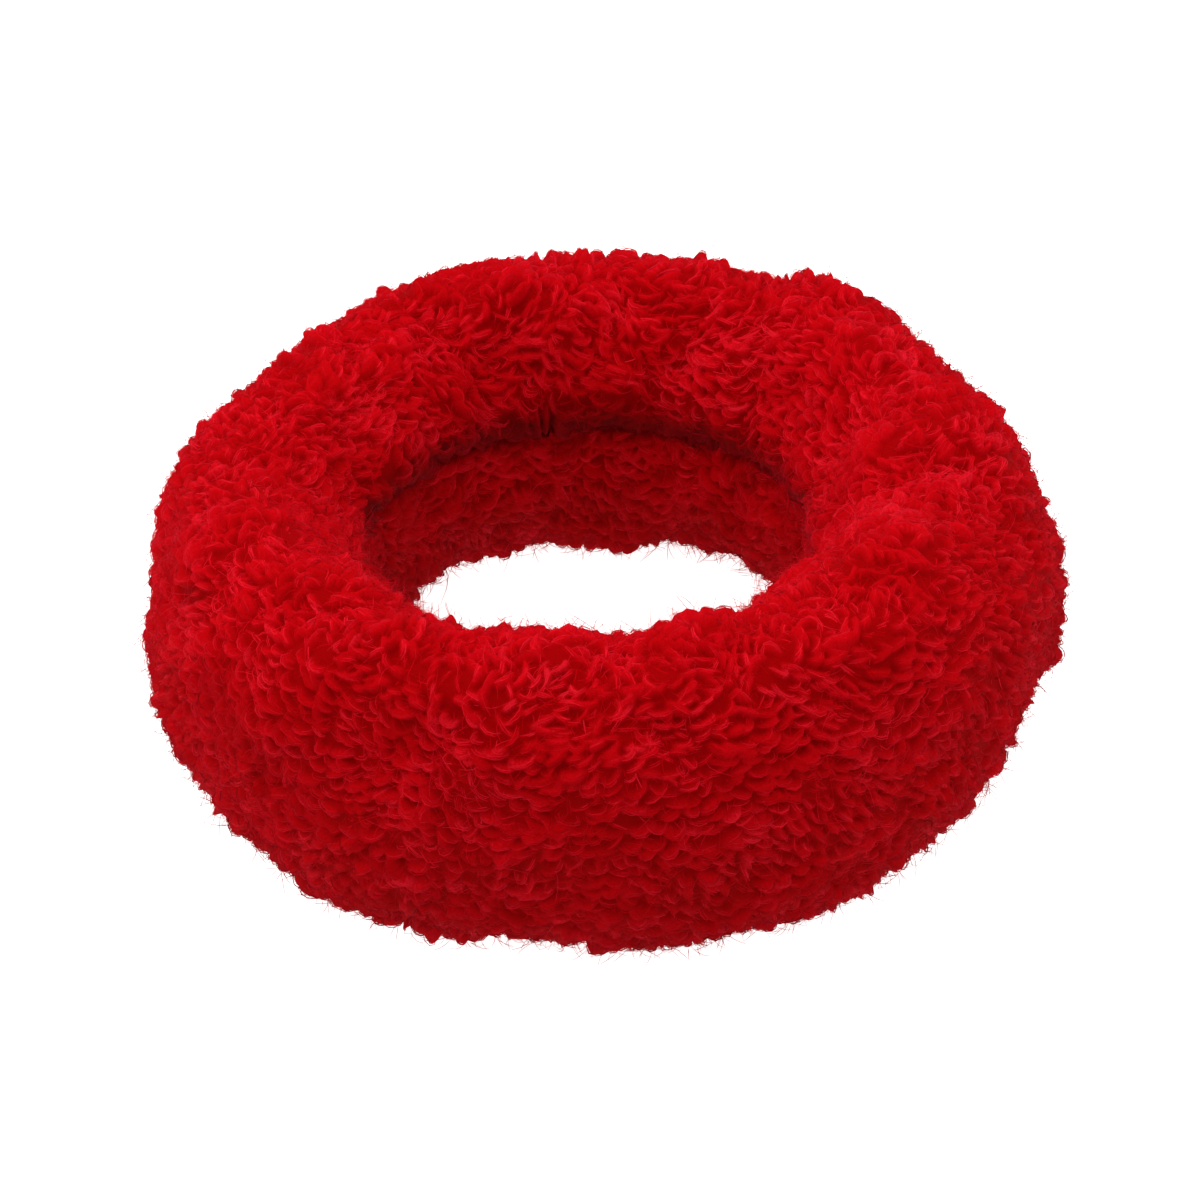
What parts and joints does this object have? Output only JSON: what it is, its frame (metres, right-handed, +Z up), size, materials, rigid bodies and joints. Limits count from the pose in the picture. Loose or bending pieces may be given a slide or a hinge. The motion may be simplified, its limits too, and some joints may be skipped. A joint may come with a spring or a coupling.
{
  "type": "terry cloth wrist ring",
  "caption": "Plump closed ring of looped red terry cloth over wadding and an elastic cord; it stretches over a wrist or a ponytail and grips it, and its roll can hold pins.",
  "frame": {"origin": "on the floor, under the middle of the opening", "axes": "+Z up through the opening, away from the face that the ring rests on; X and Y lie across the ring, which looks the same from every side"},
  "size_m": [0.066, 0.066, 0.0235],
  "materials": {
    "terry_pile": "matte looped pile of dyed yarn",
    "ground_knit": "matte fine knit",
    "elastic_yarn": "covered elastic yarn",
    "seam_thread": "twisted sewing thread",
    "wadding": "loose white polyester fibre",
    "cord_braid": "braided yarn",
    "cord_rubber": "natural rubber, dusted",
    "splice_sleeve": "shrunk plastic tube",
    "splice_thread": "waxed whipping thread"
  },
  "bodies": {
    "root": {"terry_pile": "terry_pile", "ground_knit": "ground_knit", "inlay_elastic_yarns": "elastic_yarn", "closing_seam": "seam_thread", "seam_lock_knot": "seam_thread", "wadding_ring": "wadding", "elastic_braid": "cord_braid", "elastic_strands": "cord_rubber", "splice_sleeve": "splice_sleeve", "splice_binding": "splice_thread"}
  },
  "joints": []
}
